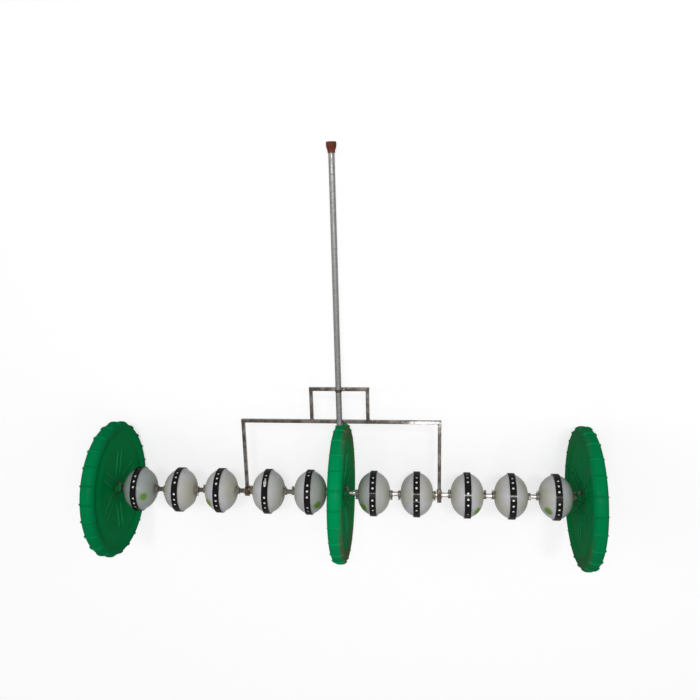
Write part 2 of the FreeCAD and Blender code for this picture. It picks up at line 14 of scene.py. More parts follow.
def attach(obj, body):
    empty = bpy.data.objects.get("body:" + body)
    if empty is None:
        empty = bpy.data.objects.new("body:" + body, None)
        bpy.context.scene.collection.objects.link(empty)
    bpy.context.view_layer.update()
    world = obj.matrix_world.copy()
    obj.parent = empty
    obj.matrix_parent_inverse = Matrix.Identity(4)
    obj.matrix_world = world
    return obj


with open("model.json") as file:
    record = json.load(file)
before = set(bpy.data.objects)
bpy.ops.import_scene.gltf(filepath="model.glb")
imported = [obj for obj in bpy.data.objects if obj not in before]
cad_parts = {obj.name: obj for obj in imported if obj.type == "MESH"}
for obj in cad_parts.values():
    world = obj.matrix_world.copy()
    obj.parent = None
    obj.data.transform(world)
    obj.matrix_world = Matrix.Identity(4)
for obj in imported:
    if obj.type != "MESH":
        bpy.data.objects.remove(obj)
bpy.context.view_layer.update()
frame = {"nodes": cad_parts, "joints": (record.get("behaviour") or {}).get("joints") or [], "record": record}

# Looks of a ten-row paddy seeder.  Lengths are in metres.  X runs along the shaft, +Z is up, and the
# drawbar reaches out along +Y.  Sizes and places come from the loaded frame, and what is added here
# are its fasteners, welds and clips and the finish of every surface.

log = logging.getLogger("paddy_seeder")

MM = 0.001
FRAME_BODY = "drawbar_frame"
GEAR_BODY = "running_gear"
HUB_REACH = 34 * MM  # from a wheel's middle to the faces of its hub
DOUBLED = 0.002 * MM  # corners that lie closer than this are one
FLAT = 0.99  # the least upward share of the normal of a top face

Colour = tuple[float, float, float, float]
FaceTest = Callable[[Vector], bool]
Inputs = dict[str | int, object]
Material = bpy.types.Material
NODES: dict[str, bpy.types.Object] = frame["nodes"]


class Side(Enum):
    """The machine's two sides, as signs along the shaft."""

    LEFT = -1
    RIGHT = 1

    @property
    def word(self) -> str:
        """Its name as the nodes have it."""
        return self.name.lower()

    @property
    def out(self) -> Vector:
        """The way out of the machine along the shaft."""
        return Vector((self.value, 0, 0))


class Soil(Enum):
    """How much dried mud a wheel carries."""

    CLEAN = 0.0
    SPLASHED = 0.3
    MUDDY = 0.65


def paint(red: int, green: int, blue: int) -> Colour:
    """A colour given on the usual 0 to 255 scale, as the shaders take it.

    Args:
        red: Red share.
        green: Green share.
        blue: Blue share.

    Returns:
        The colour in linear light, fully opaque.
    """
    shares = [share / 255 for share in (red, green, blue)]
    linear = [s / 12.92 if s <= 0.04045 else ((s + 0.055) / 1.055) ** 2.4 for s in shares]
    return (linear[0], linear[1], linear[2], 1.0)


# ---- the machine's own axes


@dataclass(frozen=True)
class FrameAxes:
    """Axes of the drawbar frame: across along the shaft, along to the knob, front out of its face."""

    origin: Vector
    along: Vector
    front: Vector

    @classmethod
    def from_record(cls) -> "FrameAxes":
        """Read them from the axle's joint and the pull knob's mount.

        Returns:
            The axes.
        """
        knob = next(m for m in frame["record"]["mounts"] if m["name"] == "pull_knob")
        along = Vector(knob["axis"]).normalized()
        return cls(Vector(frame["joints"][0]["pos_m"]), along, Vector((1, 0, 0)).cross(along))

    def at(self, across: float, along: float = 0.0, front: float = 0.0) -> Vector:
        """A place given by its distances along the three axes from the middle of the shaft."""
        return self.origin + Vector((across, 0, 0)) + self.along * along + self.front * front

    def extent(self, node: str) -> tuple[Vector, Vector]:
        """Lowest and highest distances of a CAD node along the three axes.

        Args:
            node: The node's name.

        Returns:
            Two vectors of (across, along, front).
        """
        offsets = [v.co - self.origin for v in NODES[node].data.vertices]
        spans = [[o.x for o in offsets], [o.dot(self.along) for o in offsets],
                 [o.dot(self.front) for o in offsets]]
        return Vector([min(span) for span in spans]), Vector([max(span) for span in spans])

    def middle(self, node: str) -> Vector:
        """The middle of a CAD node's extent, as (across, along, front)."""
        return sum(self.extent(node), Vector()) / 2

    def spoke(self, degrees: float) -> Vector:
        """The direction square to the shaft, turned from the knob's way toward the front."""
        turn = math.radians(degrees)
        return self.along * math.cos(turn) + self.front * math.sin(turn)


AXES = FrameAxes.from_record()


def stand_on(place: Vector, up: Vector, side: Vector = Vector((1, 0, 0))) -> Matrix:
    """The move that takes a piece modelled about +Z to a place.

    Args:
        place: Where the piece's own origin goes.
        up: Where its +Z points.
        side: The direction that its +X is turned toward.

    Returns:
        The placing matrix.
    """
    z_axis = up.normalized()
    y_axis = z_axis.cross(side).normalized()
    turn = Matrix((y_axis.cross(z_axis), y_axis, z_axis)).transposed()
    return Matrix.Translation(place) @ turn.to_4x4()


def lift(height: float) -> Matrix:
    """A move straight up."""
    return Matrix.Translation((0, 0, height))


def turn_about(axis: str, angle: float) -> Matrix:
    """A turn about an axis through the origin."""
    return Matrix.Rotation(angle, 4, axis)


# ---- modelling moves


def is_top(normal: Vector) -> bool:
    """Whether a face looks straight up."""
    return normal.z > FLAT


def is_end(normal: Vector) -> bool:
    """Whether a face looks straight up or down."""
    return abs(normal.z) > FLAT


class Piece:
    """One piece on the bench, shaped with Blender's own operators."""

    def __init__(self) -> None:
        """Take up what was just added."""
        self.object = bpy.context.object

    def take(self, *others: "Piece") -> None:
        """Leave only this piece, which becomes active, and the others selected.

        Args:
            *others: What is selected with it.
        """
        bpy.ops.object.select_all(action="DESELECT")
        for piece in (self, *others):
            piece.object.select_set(True)
        bpy.context.view_layer.objects.active = self.object

    def settle(self) -> "Piece":
        """Take the piece's place, turn and scale into its mesh.

        Returns:
            The same piece.
        """
        self.take()
        bpy.ops.object.transform_apply()
        return self

    def shift(self, move: Matrix) -> "Piece":
        """Move the piece and settle it there."""
        self.object.matrix_world = move
        return self.settle()

    def copy(self, move: Matrix) -> "Piece":
        """Repeat the piece elsewhere, with a mesh of its own.

        Args:
            move: Where the copy goes.

        Returns:
            The copy.
        """
        self.take()
        bpy.ops.object.duplicate()
        return Piece().shift(move)

    def join(self, *others: "Piece") -> "Piece":
        """Join others to the piece.

        Args:
            *others: What is joined to it.

        Returns:
            The same piece.
        """
        self.take(*others)
        bpy.ops.object.join()
        return self

    def scrap(self, *others: "Piece") -> None:
        """Delete pieces that were only there to be copied."""
        self.take(*others)
        bpy.ops.object.delete()

    @contextmanager
    def edited(self, wanted: FaceTest | None = None) -> Iterator[None]:
        """Open the piece in edit mode with faces selected, and close it again.

        Args:
            wanted: A test of each face's normal, or None for all faces.

        Yields:
            Nothing, while the piece is open.
        """
        self.take()
        bpy.ops.object.mode_set(mode="EDIT")
        bpy.ops.mesh.select_mode(type="FACE")
        bpy.ops.mesh.select_all(action="DESELECT" if wanted else "SELECT")
        if wanted:
            bpy.ops.object.mode_set(mode="OBJECT")
            for face in self.object.data.polygons:
                face.select = wanted(face.normal)
            bpy.ops.object.mode_set(mode="EDIT")
        yield
        bpy.ops.object.mode_set(mode="OBJECT")

    def dish(self, rim: float, depth: float) -> "Piece":
        """Sink the top face inside a rim.

        Args:
            rim: The rim's width.
            depth: How far the face sinks.

        Returns:
            The same piece.
        """
        with self.edited(is_top):
            bpy.ops.mesh.inset(thickness=rim)
            bpy.ops.transform.translate(value=(0, 0, -depth))
        return self

    def modify(self, kind: str, **settings: object) -> "Piece":
        """Add a modifier and apply it.

        Args:
            kind: The modifier's type.
            **settings: Its properties.

        Returns:
            The same piece.
        """
        self.take()
        modifier = self.object.modifiers.new(kind, kind)
        for key, value in settings.items():
            setattr(modifier, key, value)
        bpy.ops.object.modifier_apply(modifier=modifier.name)
        return self

    def smooth(self, degrees: float = 35.0) -> "Piece":
        """Merge doubled corners, turn every face outward and shade by angle.

        Args:
            degrees: The least angle of an edge that stays sharp.

        Returns:
            The same piece.
        """
        with self.edited():
            bpy.ops.mesh.remove_doubles(threshold=DOUBLED)
            bpy.ops.mesh.normals_make_consistent(inside=False)
        bpy.ops.object.shade_smooth_by_angle(angle=math.radians(degrees))
        return self

    def mount(self, name: str, material: Material, body: str, slot: str) -> None:
        """Name and dress the finished piece and ride it on a body.

        Args:
            name: The piece's name.
            material: What it is dressed in.
            body: The body that carries it.
            slot: The record's slot that its finish belongs to; not used.
        """
        self.object.name = name
        self.object.data.name = name
        dress(self.object, material)
        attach(self.object, body)


def dress(thing: bpy.types.Object, material: Material) -> None:
    """Give an object one material all over, and report it.

    Args:
        thing: The object.
        material: The material.
    """
    thing.data.materials.clear()
    thing.data.materials.append(material)
    log.info("%s: %d faces in %s", thing.name, len(thing.data.polygons), material.name)


def cylinder(radius: float, height: float, sides: int = 20) -> Piece:
    """A cylinder that stands on its own origin.

    Args:
        radius: Its radius.
        height: Its height.
        sides: How many flat sides it has.

    Returns:
        The cylinder.
    """
    bpy.ops.mesh.primitive_cylinder_add(
        vertices=sides, radius=radius, depth=height, location=(0, 0, height / 2))
    return Piece().settle()


def ring(inner: float, outer: float, height: float, edge: float,
         sweep: float = math.tau, steps: int = 48) -> Piece:
    """A flat ring about +Z, its rectangular section rounded and spun.

    Args:
        inner: Inner radius.
        outer: Outer radius.
        height: Height above its own origin.
        edge: How far its edges are rounded.
        sweep: Angle that it spans, from the +X side.
        steps: Steps of the spin.

    Returns:
        The ring, closed at its ends where it isn't whole.
    """
    bpy.ops.mesh.primitive_plane_add(
        size=1, location=((inner + outer) / 2, 0, height / 2), rotation=(math.pi / 2, 0, 0))
    piece = Piece()
    piece.object.scale = (outer - inner, height, 1)
    with piece.settle().edited():
        bpy.ops.mesh.bevel(offset=edge, segments=2, affect="VERTICES")
        bpy.ops.mesh.delete(type="ONLY_FACE")
        bpy.ops.mesh.select_mode(type="EDGE")
        bpy.ops.mesh.select_all(action="SELECT")
        bpy.ops.mesh.spin(steps=steps, angle=sweep, center=(0, 0, 0), axis=(0, 0, 1))
        bpy.ops.mesh.select_all(action="SELECT")
        bpy.ops.mesh.remove_doubles(threshold=DOUBLED)
        if sweep < math.tau:
            bpy.ops.mesh.fill_holes(sides=0)
    return piece.smooth()


def hexagon(across: float, height: float, crown: bool = False) -> Piece:
    """A hexagonal nut or head with cut corners.

    Args:
        across: Width across its flats.
        height: Height above its own origin.
        crown: Whether its top is dished, as a forged head's is.

    Returns:
        The head or nut.
    """
    corner, rim, dip, edge = 0.09 * across, 0.2 * across, 0.06 * across, 0.02 * across
    piece = cylinder(across / 2 / math.cos(math.pi / 6), height, sides=6)
    with piece.edited(is_top if crown else is_end):
        bpy.ops.mesh.bevel(offset=corner, segments=1, affect="VERTICES")
    if crown:
        piece.dish(rim, dip)
    return piece.modify("BEVEL", width=edge, segments=2, limit_method="ANGLE")


def thread(radius: float, pitch: float, length: float) -> Piece:
    """A threaded rod about +Z, made of ridges one pitch apart, with a chamfered end.

    Args:
        radius: Radius of its ridges.
        pitch: Distance between them.
        length: How far they run.

    Returns:
        The rod.
    """
    bpy.ops.mesh.primitive_circle_add(vertices=20, radius=radius, fill_type="NGON")
    piece = Piece()
    root = 1 - 0.6 * pitch / radius
    chamfer = 0.75
    half_turns = range(max(1, round(2 * length / pitch)))
    with piece.edited():
        for share in [root if step % 2 == 0 else 1 / root for step in half_turns] + [chamfer]:
            bpy.ops.mesh.extrude_region_move(TRANSFORM_OT_translate={"value": (0, 0, pitch / 2)})
            bpy.ops.transform.resize(value=(share, share, 1))
    return piece


# ---- node board


@dataclass(frozen=True)
class Wire:
    """A value on a node board.  Arithmetic with it adds nodes to the board."""

    board: "Board"
    socket: bpy.types.NodeSocket

    def __add__(self, other: "Wire | float") -> "Wire":
        """A sum."""
        return self.board.reckon("ADD", self, other)

    def __sub__(self, other: "Wire | float") -> "Wire":
        """A difference."""
        return self.board.reckon("SUBTRACT", self, other)

    def __mul__(self, other: "Wire | float") -> "Wire":
        """A product."""
        return self.board.reckon("MULTIPLY", self, other)

    def __abs__(self) -> "Wire":
        """The value without its sign."""
        return self.board.reckon("ABSOLUTE", self)

    def span(self, low: float, high: float) -> "Wire":
        """The value, from 0 to 1, spread between two others."""
        return self.board.add("MapRange", "Result", {"Value": self, "To Min": low, "To Max": high})

    def ramp(self, low: float, high: float) -> "Wire":
        """A soft step in the value, which runs the other way where low is the larger.

        Args:
            low: Where the step is 0.
            high: Where it is 1.

        Returns:
            The step.
        """
        at_least, at_most = (0.0, 1.0) if low < high else (1.0, 0.0)
        return self.board.add("MapRange", "Result", {
            "Value": self, "From Min": min(low, high), "From Max": max(low, high),
            "To Min": at_least, "To Max": at_most}, interpolation_type="SMOOTHSTEP")


class Board:
    """The node board of a material or of the sky, with short ways to wire its shader."""

    COLOUR_MIX = (0, 6, 7, 2)  # a colour mix node's factor, its two colours and its result, by number

    def __init__(self, owner: Material | bpy.types.World, shader: str = "Principled BSDF") -> None:
        """Start on the plain shader.

        Args:
            owner: The material or the sky.
            shader: The shader node's name.
        """
        owner.use_nodes = True
        self.owner = owner
        self.tree = owner.node_tree
        self.shader = self.tree.nodes[shader]

    @cached_property
    def place(self) -> Wire:
        """The object's own coordinates."""
        return self.add("TexCoord", "Object", {})

    def add(self, kind: str, out: str | int, inputs: Inputs, **settings: object) -> Wire:
        """Add a node.

        Args:
            kind: Its type.
            out: Which of its results is wanted.
            inputs: What its sockets take, each a wire or a plain value.
            **settings: Its properties.

        Returns:
            The result.
        """
        node = self.tree.nodes.new(f"ShaderNode{kind}")
        for key, value in settings.items():
            setattr(node, key, value)
        self.feed(node, inputs)
        return Wire(self, node.outputs[out])

    def feed(self, node: bpy.types.Node, inputs: Inputs) -> None:
        """Give a node's sockets their wires or plain values.

        Args:
            node: The node.
            inputs: What its sockets take, by their names or numbers.
        """
        for key, value in inputs.items():
            if isinstance(value, Wire):
                self.tree.links.new(value.socket, node.inputs[key])
            else:
                node.inputs[key].default_value = value

    def finish(self, **inputs: object) -> None:
        """Wire the shader's sockets, named with underscores for spaces."""
        self.feed(self.shader, {name.replace("_", " "): value for name, value in inputs.items()})

    def reckon(self, operation: str, *values: Wire | float) -> Wire:
        """One step of arithmetic on one, two or three values."""
        return self.add("Math", 0, dict(enumerate(values)), operation=operation)

    def vector(self, operation: str, *values: object, out: str = "Vector") -> Wire:
        """One step of vector arithmetic, which gives a Vector or a Value."""
        return self.add("VectorMath", out, dict(enumerate(values)), operation=operation)

    def moved(self, centre: Sequence[float] = (0, 0, 0), stretch: Sequence[float] = (1, 1, 1)) -> Wire:
        """The object's coordinates about a centre, stretched along the axes."""
        shift = [-share * offset for share, offset in zip(stretch, centre)]
        return self.add("Mapping", "Vector", {"Vector": self.place, "Scale": stretch, "Location": shift})

    def noise(self, size: float, detail: float, where: Wire | None = None, rough: float = 0.55) -> Wire:
        """Cloudy noise from 0 to 1: its patches' size, its finer layers, where it lies, their strength."""
        return self.add("TexNoise", "Fac", {
            "Vector": where or self.place, "Scale": 1 / size, "Detail": detail, "Roughness": rough})

    def cells(self, size: float) -> Wire:
        """Random cells of a size, each with a value of its own."""
        colours = self.add("TexVoronoi", "Color", {"Vector": self.place, "Scale": 1 / size})
        return self.add("SeparateColor", 0, {0: colours})

    def mix(self, share: Wire | float, under: object, over: object) -> Wire:
        """A blend of two colours, with a share of the second."""
        factor, first, second, result = self.COLOUR_MIX
        return self.add("Mix", result, {factor: share, first: under, second: over}, data_type="RGBA")

    def relief(self, *layers: tuple[Wire, float]) -> Wire:
        """Layers of relief, one over the other.

        Args:
            *layers: The height of each, and its depth.

        Returns:
            The normal that they give together.
        """
        below: Inputs = {}
        for height, depth in layers:
            normal = self.add("Bump", "Normal", below | {"Height": height, "Distance": depth})
            below = {"Normal": normal}
        return normal

    def seen(self, *kinds: str) -> Wire:
        """1 for the camera's rays and those of other kinds, and 0 for the rest.

        Args:
            *kinds: The other kinds of rays.

        Returns:
            The share.
        """
        share = self.add("LightPath", "Is Camera Ray", {})
        for kind in kinds:
            share = self.reckon("MAXIMUM", share, self.add("LightPath", f"Is {kind} Ray", {}))
        return share


class Axle:
    """What surrounds a place on the shaft, as wires of a board."""

    def __init__(self, board: Board, across: float) -> None:
        """Measure how far along the shaft and how far from its axis each point lies.

        Args:
            board: The board.
            across: The place, along the shaft.
        """
        self.board = board
        self.centred = board.moved(AXES.at(across))
        self.side, self.along, self.up = (
            board.add("SeparateXYZ", axis, {0: self.centred}) for axis in "XYZ")
        self.flat = board.vector("MULTIPLY", self.centred, (0, 1, 1))
        self.radius = board.vector("LENGTH", self.flat, out="Value")

    def pairs(self, first: float, count: int, half_gap: float) -> tuple[Wire, Wire]:
        """Distances from pairs of lines that run out from the shaft.

        Args:
            first: The angle of the first pair about the shaft, from the +Y side.
            count: How many pairs there are in a turn.
            half_gap: Half the distance between a pair's two lines.

        Returns:
            The distance from the nearest line, and the distance from the axis along it.
        """
        reckon = self.board.reckon
        angle = reckon("ARCTAN2", self.up, self.along) - first
        folded = reckon("WRAP", angle, math.pi / count, -math.pi / count)
        beside = abs(self.radius * reckon("SINE", folded))
        return abs(beside - half_gap), self.radius * reckon("COSINE", folded)

    def facing(self, way: Vector) -> Wire:
        """How far each point lies toward a direction from the shaft, or straight away from it."""
        spoke = self.board.vector("NORMALIZE", self.flat)
        return abs(self.board.vector("DOT_PRODUCT", spoke, way.normalized(), out="Value"))

    def around(self, width: float, turns: float) -> Wire:
        """Coordinates that run round the shaft, so that a noise on them is drawn out into smears.

        Args:
            width: How wide a smear is.
            turns: How often smears change in one turn, divided by two pi.

        Returns:
            The coordinates, one unit for each smear.
        """
        spoke = self.board.vector("NORMALIZE", self.flat)
        wheel = self.board.vector("MULTIPLY", spoke, (turns, turns, turns))
        return self.board.vector("MULTIPLY_ADD", self.centred, (1 / width, 0, 0), wheel)


# ---- finishes


@dataclass(frozen=True)
class Finish:
    """A finish, which makes a material of its own name."""

    name: str

    @cached_property
    def board(self) -> Board:
        """The node board of its material."""
        return Board(bpy.data.materials.new(self.name))

    @cached_property
    def material(self) -> Material:
        """The material, drawn when it is first asked for."""
        self.draw()
        return self.board.owner

    def draw(self) -> None:
        """Wire the material, each finish in its own way."""
        raise NotImplementedError


@dataclass(frozen=True)
class WheelPlastic(Finish):
    """Green blow-moulded plastic of a wheel: its web painted a green of its own for the light on it, painted
    highlights along its flutes, a darker green toward its hub, and mud smeared round its rim.
    """

    across: float
    soil: Soil
    muddy_side: float
    green: Colour = paint(0, 124, 71)
    web_lit_green: Colour = paint(0, 133, 69)
    dust: Colour = paint(14, 134, 84)
    mud: Colour = paint(92, 74, 54)
    hub_dark_green: Colour = paint(50, 66, 44)
    rubbed: Colour = paint(64, 166, 118)
    flute_first: float = math.radians(37.5)
    flute_pairs: int = 6
    flute_half_gap: float = 19 * MM
    heavy_way: Vector = Vector((0, -0.8, 0.6))

    def draw(self) -> None:
        """Draw the skin, its painted light, its wear and its dirt."""
        board = self.board
        axle = Axle(board, self.across)
        # painted light: the web inside the rim gets a green of its own, standing in for the different light
        # on the side face
        body = board.mix(axle.radius.ramp(0.25, 0.275), self.web_lit_green, self.green)
        drawn = board.noise(1.0, 4.0, axle.around(16 * MM, 1.6))
        body = board.mix(drawn.ramp(0.5, 0.72) * 0.2, body, self.dust)
        scratches = board.noise(1.2 * MM, 2.0, board.moved(stretch=(0.05, 1, 1)))
        body = board.mix(scratches.ramp(0.66, 0.76) * 0.08, body, self.dust)
        # painted highlight: a lighter green along each flute ridge stands in for the sheen that the ridges
        # catch
        beside, out = axle.pairs(self.flute_first, self.flute_pairs, self.flute_half_gap)
        flutes = beside.ramp(5 * MM, 1 * MM) * out.ramp(60 * MM, 84 * MM) * out.ramp(184 * MM, 162 * MM)
        body = board.mix(flutes * 0.42, body, self.rubbed)
        cloud = board.noise(14 * MM, 6.0, rough=0.65)
        # a darker, greyer green toward the hub
        hub = axle.radius.ramp(44 * MM, 18 * MM) * cloud.ramp(0.34, 0.56)
        body = board.mix(hub * 0.7, body, self.hub_dark_green)
        mud = self.smears(axle)
        gloss = board.noise(18 * MM, 5.0).span(0.34, 0.5)
        peel, waves = board.noise(2.2 * MM, 2.0), board.noise(45 * MM, 1.0)
        seam = abs(axle.side).ramp(0.9 * MM, 0.3 * MM) * axle.radius.ramp(0.294, 0.297)
        board.finish(
            Base_Color=board.mix(mud, body, self.mud),
            Roughness=board.reckon("MAXIMUM", gloss, mud * 0.95),
            Normal=board.relief(
                (peel, 0.04 * MM), (waves, 0.9 * MM), (seam, 0.4 * MM), (mud * cloud, 0.8 * MM)),
            Specular_IOR_Level=0.0, Coat_Weight=0.035, Coat_Roughness=0.25)

    def smears(self, axle: Axle) -> Wire:
        """How much mud lies at each place: smears drawn round one shoulder of the tread.

        Args:
            axle: What surrounds the wheel's middle.

        Returns:
            The share of mud.
        """
        toward = axle.side * self.muddy_side
        shoulder = toward.ramp(11 * MM, 21 * MM) * axle.radius.ramp(0.23, 0.262)
        drawn = self.board.noise(1.0, 5.0, axle.around(15 * MM, 2.2), 0.6)
        fine = self.board.noise(1.0, 3.0, axle.around(2.4 * MM, 9.0))
        heavy = axle.facing(self.heavy_way).ramp(0.2, 0.85)
        streaks = drawn + fine * 0.2 + heavy * (0.3 * self.soil.value)
        return shoulder * streaks.ramp(0.58, 0.82) * self.soil.value


@dataclass(frozen=True)
class DrumPlastic(Finish):
    """Milky plastic of one seed drum, with painted shade toward its ends, and stained at its necks."""

    across: float
    shade: float
    white: Colour = paint(192, 191, 197)
    warm: Colour = paint(184, 182, 176)
    end_shade: Colour = paint(172, 171, 146)
    belt: Colour = paint(248, 248, 244)
    stain: Colour = paint(74, 64, 50)
    cool: Colour = paint(138, 152, 146)
    ripple: float = 6.5 * MM

    def draw(self) -> None:
        """Draw the shell, its painted shade toward the ends and its stains."""
        board = self.board
        axle = Axle(board, self.across)
        reach = abs(axle.side)
        cloud = board.noise(70 * MM, 4.0)
        body = board.mix(cloud.ramp(0.35, 0.68), self.white, self.warm)
        # painted shade: a darker, yellower tone toward the drum's ends stands in for the dark reflection
        # there
        outer = (reach + cloud * (16 * MM)).ramp(34 * MM, 74 * MM)
        body = board.mix(self.shade, board.mix(outer * 0.6, body, self.end_shade), self.cool)
        body = board.mix(board.noise(2.4 * MM, 3.0).ramp(0.66, 0.74) * 0.18, body, self.stain)
        wisps = board.noise(9 * MM, 5.0, board.moved(stretch=(0.25, 1, 1)), 0.7)
        ends = (reach + wisps * (12 * MM)).ramp(70 * MM, 80 * MM)
        body = board.mix(ends * 0.72, body, self.stain)
        under_band = axle.radius.ramp(94.6 * MM, 95.2 * MM) * reach.ramp(13 * MM, 12 * MM)
        rings = board.reckon("SINE", reach * (math.tau / self.ripple))
        waves, grain = board.noise(38 * MM, 1.0), board.noise(1.6 * MM, 2.0)
        board.finish(
            Base_Color=board.mix(under_band, body, self.belt),
            Roughness=cloud.span(0.3, 0.5),
            Normal=board.relief((rings, 0.07 * MM), (waves, 0.8 * MM), (grain, 0.03 * MM)),
            Subsurface_Weight=0.15, Subsurface_Radius=(1.0, 0.9, 0.7), Subsurface_Scale=4 * MM,
            Specular_IOR_Level=0.0, Coat_Weight=0.45, Coat_Roughness=0.2)


@dataclass(frozen=True)
class SmallPlastic(Finish):
    """Plastic of the bands and the knob: a body colour with wear, dust and a fine grain."""

    body: Colour
    worn: Colour
    dust: Colour
    dusty: float
    gloss: tuple[float, float]
    grain: float
    coat: float

    def draw(self) -> None:
        """Draw the colour, the dust in it and its scuffs."""
        board = self.board
        cloud = board.noise(22 * MM, 5.0, rough=0.6)
        body = board.mix(cloud.ramp(0.38, 0.66), self.body, self.worn)
        settled = board.noise(7 * MM, 7.0, rough=0.75).ramp(0.52, 0.7)
        scuffs = board.noise(1.1 * MM, 3.0, board.moved(stretch=(0.08, 1, 1)))
        board.finish(
            Base_Color=board.mix(settled * self.dusty, body, self.dust),
            Roughness=cloud.span(*self.gloss) + settled * 0.15,
            Normal=board.relief((scuffs, 0.03 * MM), (board.noise(self.grain, 2.0), 0.12 * MM)),
            Specular_IOR_Level=0.0, Coat_Weight=self.coat, Coat_Roughness=0.12)


@dataclass(frozen=True)
class CapPlastic(Finish):
    """Green plastic of one filler cap, faded and cloudy toward its rim."""

    centre: Vector
    green: Colour = paint(104, 142, 66)
    faded: Colour = paint(158, 172, 138)
    dust: Colour = paint(150, 146, 120)

    def draw(self) -> None:
        """Draw the colour, how it fades outward and its dust."""
        board = self.board
        cloud = board.noise(11 * MM, 4.0, rough=0.6)
        reach = board.vector("LENGTH", board.moved(self.centre), out="Value") + cloud * (14 * MM)
        body = board.mix(reach.ramp(17 * MM, 30 * MM), self.green, self.faded)
        settled = board.noise(3 * MM, 6.0, rough=0.7).ramp(0.56, 0.72)
        board.finish(
            Base_Color=board.mix(settled * 0.35, body, self.dust),
            Roughness=cloud.span(0.3, 0.5),
            Normal=board.relief((board.noise(1.6 * MM, 2.0), 0.05 * MM)),
            Subsurface_Weight=0.2, Subsurface_Scale=3 * MM,
            Specular_IOR_Level=0.0, Coat_Weight=0.15, Coat_Roughness=0.2)


@dataclass(frozen=True)
class ZincSteel(Finish):
    """Galvanised tube: spangled zinc with drawn lines along it and rust that shows through."""

    bright: Colour
    dull: Colour
    run: tuple[float, float, float]
    rusted: float
    rough: tuple[float, float]
    left_shade: float = 0.0
    brown: Colour = paint(54, 42, 38)
    rust: Colour = paint(96, 62, 42)

    def draw(self) -> None:
        """Draw the spangle, the drawn lines, the painted shade toward the left end and the rust."""
        board = self.board
        spangle = board.cells(7 * MM)
        body = board.mix(spangle.span(0.0, 0.8), self.bright, self.dull)
        lines = board.noise(0.9 * MM, 3.0, board.moved(stretch=self.run))
        body = board.mix(lines.ramp(0.5, 0.75) * 0.3, body, self.dull)
        # painted shade: brown toward the left end stands in for the missing highlight there
        uneven = board.noise(150 * MM, 3.0, board.moved(stretch=(1, 0.1, 0.1)))
        left = (Axle(board, 0.0).side + uneven * 0.5).ramp(0.3, -0.1)
        body = board.mix(left * self.left_shade, body, self.brown)
        spots = board.noise(30 * MM, 7.0, rough=0.72).ramp(0.55, 0.68) * self.rusted
        board.finish(
            Base_Color=board.mix(spots, body, self.rust),
            Metallic=spots.span(0.95, 0.25),
            Roughness=spangle.span(*self.rough) + spots * 0.35,
            Normal=board.relief((lines, 0.04 * MM), (board.noise(3 * MM, 4.0), 0.06 * MM)))


@dataclass(frozen=True)
class TubeSteel(Finish):
    """Bare square tube gone brown under a film of oil, with grey wear where it is handled."""

    brown: Colour = paint(60, 51, 45)
    grey: Colour = paint(110, 103, 97)
    rust: Colour = paint(58, 38, 30)

    def draw(self) -> None:
        """Draw the brown steel, its wear, its rust and the film on it."""
        board = self.board
        blotch = board.noise(48 * MM, 5.0, rough=0.62)
        body = board.mix(blotch.ramp(0.4, 0.66), self.brown, self.grey)
        rust = board.noise(19 * MM, 8.0, rough=0.75).ramp(0.54, 0.68)
        lines = board.noise(0.8 * MM, 3.0, board.moved(stretch=(0.04, 0.3, 0.3)))
        board.finish(
            Base_Color=board.mix(rust * 0.8, body, self.rust),
            Metallic=rust.span(0.95, 0.4),
            Roughness=blotch.span(0.2, 0.34) + rust * 0.3,
            Normal=board.relief((lines, 0.015 * MM), (board.noise(2.2 * MM, 5.0), 0.03 * MM)),
            Coat_Weight=0.5, Coat_Roughness=0.08)


@dataclass(frozen=True)
class PlatedSteel(Finish):
    """Plated fasteners, bushes and weld metal, tarnished in patches."""

    plate: Colour
    tarnish: Colour
    rusted: float
    rough: tuple[float, float] = (0.25, 0.45)
    patch: float = 9 * MM
    relief: float = 0.05 * MM
    rust: Colour = paint(98, 58, 36)

    def draw(self) -> None:
        """Draw the plating, its tarnish and the rust in it."""
        board = self.board
        cloud = board.noise(self.patch, 6.0, rough=0.7)
        body = board.mix(cloud.ramp(0.42, 0.62), self.plate, self.tarnish)
        speckle = board.noise(3.5 * MM, 6.0, rough=0.75)
        rust = (board.noise(120 * MM, 2.0) * 0.5 + speckle).ramp(0.68, 0.82) * self.rusted
        board.finish(
            Base_Color=board.mix(rust, body, self.rust),
            Metallic=rust.span(0.95, 0.3),
            Roughness=cloud.span(*self.rough) + rust * 0.35,
            Normal=board.relief((board.noise(1.1 * MM, 4.0), self.relief)))


ZINC_BOLT = PlatedSteel("zinc_bolt", paint(168, 168, 162), paint(88, 84, 78), 0.4)
JOINT_ZINC = PlatedSteel("joint_zinc", paint(216, 214, 208), paint(150, 146, 140), 0.15, patch=5 * MM)
YELLOW_BOLT = PlatedSteel("yellow_bolt", paint(188, 164, 96), paint(120, 100, 60), 0.5)
BUSH_STEEL = PlatedSteel("bush_steel", paint(150, 140, 120), paint(104, 92, 74), 0.6, patch=14 * MM)
SPRING_STEEL = PlatedSteel("spring_steel", paint(96, 94, 92), paint(60, 56, 52), 0.4)
WELD_METAL = PlatedSteel("weld_metal", paint(112, 100, 88), paint(70, 60, 66), 0.7, rough=(0.4, 0.6),
                         patch=5 * MM, relief=0.2 * MM)
BAND_PLASTIC = SmallPlastic(
    "band_plastic", body=paint(8, 6, 7), worn=paint(15, 12, 12), dust=paint(58, 48, 42),
    dusty=0.08, gloss=(0.12, 0.24), grain=3 * MM, coat=0.22)
KNOB_RUBBER = SmallPlastic(
    "knob_rubber", body=paint(120, 60, 42), worn=paint(98, 52, 38), dust=paint(128, 104, 78),
    dusty=0.3, gloss=(0.5, 0.7), grain=1.4 * MM, coat=0.1)
